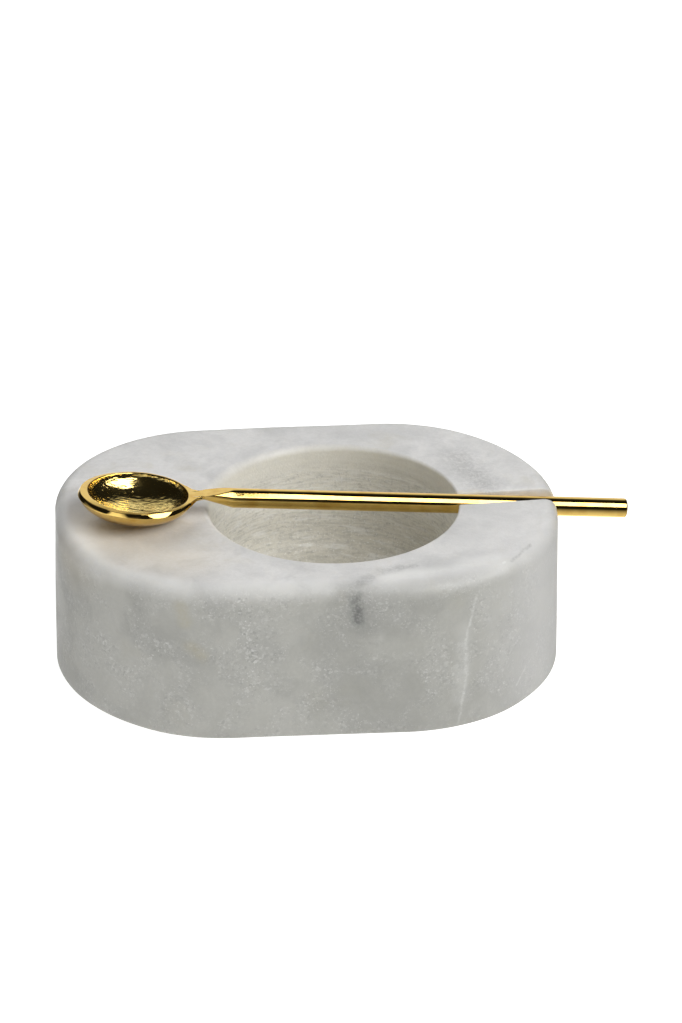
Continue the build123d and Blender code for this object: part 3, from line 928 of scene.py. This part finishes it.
def polished_brass(spoon):
    """Polished brass: cast or drawn, filed, and buffed by hand.

    To the eye it is a warm mirror whose reflections waver a little, browner where the polish is thin.
    The hollow keeps the strokes of the scraper that cleaned it.
    """
    name = "polished_brass"
    if name in bpy.data.materials:
        return bpy.data.materials[name]
    material = bpy.data.materials.new(name)
    tree = empty_tree(material)
    point = add_node(tree, "ShaderNodeTexCoord", {}, "Object")
    hollow = add_node(tree, "ShaderNodeAttribute", {}, "Fac", attribute_name="hollow")

    # Thin polish in patches
    patch = {"Vector": point, "Scale": 1 / PATCH_SIZE, "Detail": 4.0}
    patches = add_node(tree, "ShaderNodeTexNoise", patch)
    thin = {"Value": patches, "From Min": THIN_FROM, "From Max": THIN_TO, "To Max": THIN_SHARE}
    share = add_node(tree, "ShaderNodeMapRange", thin)
    bare = {0: hollow, 6: tuple(spoon.brass), 7: tuple(spoon.scraped)}
    clean = add_node(tree, "ShaderNodeMix", bare, 2, data_type="RGBA")
    layer = {0: share, 6: clean, 7: tuple(spoon.tarnish)}
    colour = add_node(tree, "ShaderNodeMix", layer, 2, data_type="RGBA")
    gloss = {
        "Value": patches,
        "From Min": GLOSS_FROM,
        "From Max": GLOSS_TO,
        "To Min": BRASS_GLOSSIEST,
        "To Max": BRASS_DULLEST,
    }
    buffed = add_node(tree, "ShaderNodeMapRange", gloss)
    scraped = {0: hollow, 1: SCRAPED_ROUGHNESS, 2: buffed}
    roughness = add_node(tree, "ShaderNodeMath", scraped, operation="MULTIPLY_ADD")

    # Strokes in the hollow, drawn wide so that they show, over the faint grain of the buff
    drawn = {"Vector": point, "Rotation": SCRAPE_TURN, "Scale": SCRAPE_STRETCH}
    along = add_node(tree, "ShaderNodeMapping", drawn)
    strokes = {"Vector": along, "Scale": 1 / SCRAPE_WIDTH, "Detail": 1.0, "Roughness": 0.5}
    stroke = add_node(tree, "ShaderNodeTexNoise", strokes)
    grain = {"Vector": point, "Scale": 1 / BUFF_SIZE, "Detail": 3.0, "Roughness": 0.6}
    buff = add_node(tree, "ShaderNodeTexNoise", grain)
    deep = add_node(tree, "ShaderNodeMath", {0: stroke, 1: hollow}, operation="MULTIPLY")
    height = add_node(tree, "ShaderNodeMath", {0: buff, 1: BUFF_SHARE, 2: deep}, operation="MULTIPLY_ADD")
    bump = add_node(tree, "ShaderNodeBump", {"Height": height, "Strength": 1.0, "Distance": SCRAPE_DEPTH})
    surface = {"Base Color": colour, "Metallic": 1.0, "Roughness": roughness, "Normal": bump}
    shader = add_node(tree, "ShaderNodeBsdfPrincipled", surface)
    add_node(tree, "ShaderNodeOutputMaterial", {"Surface": shader})
    return material


class BuildMarbleBlock(bpy.types.Operator):
    """Builds the marble block with its well and groove"""

    bl_idname = "salt_cellar.marble_block"
    bl_label = "Marble block"

    def execute(self, context):
        block = context.scene.salt_cellar_block
        grid, shares = marble_surface(block, context.scene.salt_cellar_spoon)
        mesh = closed_mesh("marble_block_honed", grid)
        for name, share in shares.items():
            mark_rows(mesh, name, share, grid.shape[1])
        add_piece(mesh, honed_marble(block), "block", "marble_block")
        return {"FINISHED"}


class BuildSpoonBowl(bpy.types.Operator):
    """Builds the spoon's bowl with its neck"""

    bl_idname = "salt_cellar.spoon_bowl"
    bl_label = "Spoon bowl"

    def execute(self, context):
        spoon = context.scene.salt_cellar_spoon
        grid, in_hollow = bowl_surface(spoon)
        mesh = closed_mesh("spoon_bowl_polished", grid)
        mark_rows(mesh, "hollow", in_hollow, grid.shape[1])
        add_piece(mesh, polished_brass(spoon), "spoon", "spoon_bowl")
        return {"FINISHED"}


class BuildSpoonHandle(bpy.types.Operator):
    """Builds the spoon's handle"""

    bl_idname = "salt_cellar.spoon_handle"
    bl_label = "Spoon handle"

    def execute(self, context):
        spoon = context.scene.salt_cellar_spoon
        mesh = closed_mesh("spoon_handle_polished", handle_surface(spoon))
        add_piece(mesh, polished_brass(spoon), "spoon", "spoon_handle")
        return {"FINISHED"}


# Camera: its bearing and height, and where it aims, right of and above the block's middle
CAMERA_AZIMUTH = radians(-3.66)
CAMERA_ELEVATION = radians(28.64)
CAMERA_TARGET = Vector((0, 0, 17 * MM))
CAMERA_AIM_RIGHT = 7.16 * MM
CAMERA_AIM_UP = 12.62 * MM

# Matt floor that the camera sees
FLOOR_ROUGHNESS = 0.9

# Lights hung level above the object: a soft box in front and to the right, and a weaker fill at the back
# left, each with its middle, width, depth, brightness and whether the brass mirrors it
SOFT_LIGHTS = {
    "soft_box": ((1.05, -0.78, 0.94), 1.6, 1.2, 5.0, True),
    "fill": ((-0.7, 0.3, 0.95), 1.0, 1.0, 1.3, False),
}

# What the object sees of the dark room: a white backdrop turned a little to the right, which fades out
# at its top and sides, a low pale wall to the left, and the floor, which is brightest straight below.
# Each pair is where a part is full and where it has faded out.
ROOM_BRIGHTNESS = 0.012
BACKDROP_BRIGHTNESS = 0.93
BACKDROP_TURN = 0.04
BACKDROP_TOP = (sin(radians(35)), sin(radians(57)))
BACKDROP_SLOPE = 0.45
BACKDROP_SIDE = (-0.13, 0.15)
WALL_BRIGHTNESS = 1.3
WALL_TOWARDS = (-0.75, -0.66, 0.0)
WALL_EDGE = (0.95, 0.45)
WALL_TOP = (0.08, 0.35)
FLOOR_BRIGHTNESS = 1.05
FLOOR_FADE = (-1.0, 0.0)


def direction_of(bearing, elevation):
    """Unit direction from the object: bearing 0 is towards the front, 90 degrees towards the right."""
    return Vector((sin(bearing) * cos(elevation), -cos(bearing) * cos(elevation), sin(elevation)))


def add_floor(stage):
    """Plain pale floor: one flat square that glows a little, so that shadows on it stay faint.

    Only the camera sees it: the room gives the object its own floor, which fades into the dark.
    """
    half = stage.floor_half
    mesh = bpy.data.meshes.new("floor")
    corners = [(-half, -half, 0), (half, -half, 0), (half, half, 0), (-half, half, 0)]
    mesh.from_pydata(corners, [], [(0, 1, 2, 3)])
    material = bpy.data.materials.new("matt_white_floor")
    material.use_nodes = True
    shader = material.node_tree.nodes["Principled BSDF"]
    shader.inputs["Base Color"].default_value = stage.floor_colour
    shader.inputs["Roughness"].default_value = FLOOR_ROUGHNESS
    shader.inputs["Emission Color"].default_value = (1, 1, 1, 1)
    shader.inputs["Emission Strength"].default_value = stage.floor_glow
    mesh.materials.append(material)
    floor = bpy.data.objects.new("floor", mesh)
    floor.visible_diffuse = False
    floor.visible_glossy = False
    bpy.context.scene.collection.objects.link(floor)


def add_soft_lights():
    """Level rectangular lights that shine down, each with the power that gives it its brightness."""
    for name, (middle, width, depth, brightness, mirrored) in SOFT_LIGHTS.items():
        light = bpy.data.lights.new(name, "AREA")
        light.shape = "RECTANGLE"
        light.size = width
        light.size_y = depth
        light.energy = brightness * pi * width * depth
        lamp = bpy.data.objects.new(name, light)
        lamp.location = middle
        lamp.visible_camera = False
        lamp.visible_glossy = mirrored
        bpy.context.scene.collection.objects.link(lamp)


def add_room():
    """Dark room around the stage, with its pale parts: each is a brightness times its fades."""
    world = bpy.data.worlds.new("studio_room")
    tree = empty_tree(world)
    towards = add_node(tree, "ShaderNodeTexCoord", {}, "Generated")
    right, back, up = [add_node(tree, "ShaderNodeSeparateXYZ", {0: towards}, axis) for axis in "XYZ"]
    turn = {0: back, 1: -BACKDROP_TURN, 2: right}
    turned = add_node(tree, "ShaderNodeMath", turn, operation="MULTIPLY_ADD")
    aside = add_node(tree, "ShaderNodeMath", {0: turned}, operation="ABSOLUTE")
    slope = {0: back, 1: -BACKDROP_SLOPE, 2: aside}
    beside = add_node(tree, "ShaderNodeMath", slope, operation="MULTIPLY_ADD")
    left = {0: towards, 1: WALL_TOWARDS}
    leftward = add_node(tree, "ShaderNodeVectorMath", left, "Value", operation="DOT_PRODUCT")
    parts = [
        (BACKDROP_BRIGHTNESS, [(up, BACKDROP_TOP), (beside, BACKDROP_SIDE)]),
        (WALL_BRIGHTNESS, [(leftward, WALL_EDGE), (up, WALL_TOP)]),
        (FLOOR_BRIGHTNESS, [(up, FLOOR_FADE)]),
    ]
    strength = ROOM_BRIGHTNESS
    for brightness, fades in parts:
        for value, (full, none) in fades:
            spread = {"Value": value, "From Min": full, "From Max": none, "To Min": 1.0, "To Max": 0.0}
            fade = add_node(tree, "ShaderNodeMapRange", spread)
            brightness = add_node(tree, "ShaderNodeMath", {0: fade, 1: brightness}, operation="MULTIPLY")
        strength = add_node(tree, "ShaderNodeMath", {0: strength, 1: brightness}, operation="ADD")
    sky = add_node(tree, "ShaderNodeBackground", {"Color": (1, 1, 1, 1), "Strength": strength})
    add_node(tree, "ShaderNodeOutputWorld", {"Surface": sky})
    bpy.context.scene.world = world


def add_camera(stage):
    """Camera at its bearing and height, aimed a little right of and above the block's middle."""
    camera = bpy.data.cameras.new("camera")
    camera.lens = stage.camera_lens
    back = direction_of(CAMERA_AZIMUTH, CAMERA_ELEVATION)
    right = Vector((cos(CAMERA_AZIMUTH), sin(CAMERA_AZIMUTH), 0))
    up = back.cross(right)
    place = CAMERA_TARGET + back * stage.camera_distance
    aim = CAMERA_TARGET + right * CAMERA_AIM_RIGHT + up * CAMERA_AIM_UP
    view = bpy.data.objects.new("camera", camera)
    view.location = place
    view.rotation_euler = (place - aim).to_track_quat("Z", "Y").to_euler()
    bpy.context.scene.collection.objects.link(view)
    bpy.context.scene.camera = view


class BuildStage(bpy.types.Operator):
    """Builds the floor, the soft studio light and the camera"""

    bl_idname = "salt_cellar.stage"
    bl_label = "Stage"

    def execute(self, context):
        stage = context.scene.salt_cellar_stage
        add_floor(stage)
        add_soft_lights()
        add_room()
        add_camera(stage)
        context.scene.view_settings.view_transform = "Standard"
        return {"FINISHED"}


class SaltCellarPanel(bpy.types.Panel):
    """Lists the salt cellar's pieces and settings"""

    bl_idname = "VIEW3D_PT_salt_cellar"
    bl_label = "Salt cellar"
    bl_space_type = "VIEW_3D"
    bl_region_type = "UI"
    bl_category = "Salt cellar"

    def draw(self, context):
        for kind in OPERATORS:
            self.layout.operator(kind.bl_idname)
        for name, kind in SETTINGS.items():
            box = self.layout.box()
            for setting in kind.__annotations__:
                box.prop(getattr(context.scene, name), setting)


OPERATORS = (BuildMarbleBlock, BuildSpoonBowl, BuildSpoonHandle, BuildStage)
SETTINGS = {
    "salt_cellar_block": BlockSettings,
    "salt_cellar_spoon": SpoonSettings,
    "salt_cellar_stage": StageSettings,
}


def register():
    """Makes the settings, operators and panel known to Blender."""
    for kind in (*SETTINGS.values(), *OPERATORS, SaltCellarPanel):
        bpy.utils.register_class(kind)
    for name, kind in SETTINGS.items():
        setattr(bpy.types.Scene, name, bpy.props.PointerProperty(type=kind))


def unregister():
    """Takes them away again."""
    for name in SETTINGS:
        delattr(bpy.types.Scene, name)
    for kind in (SaltCellarPanel, *reversed(OPERATORS), *reversed(SETTINGS.values())):
        bpy.utils.unregister_class(kind)


def main():
    """Builds every piece and the stage."""
    register()
    bpy.ops.salt_cellar.marble_block()
    bpy.ops.salt_cellar.spoon_bowl()
    bpy.ops.salt_cellar.spoon_handle()
    bpy.ops.salt_cellar.stage()


if __name__ == "__main__":
    main()
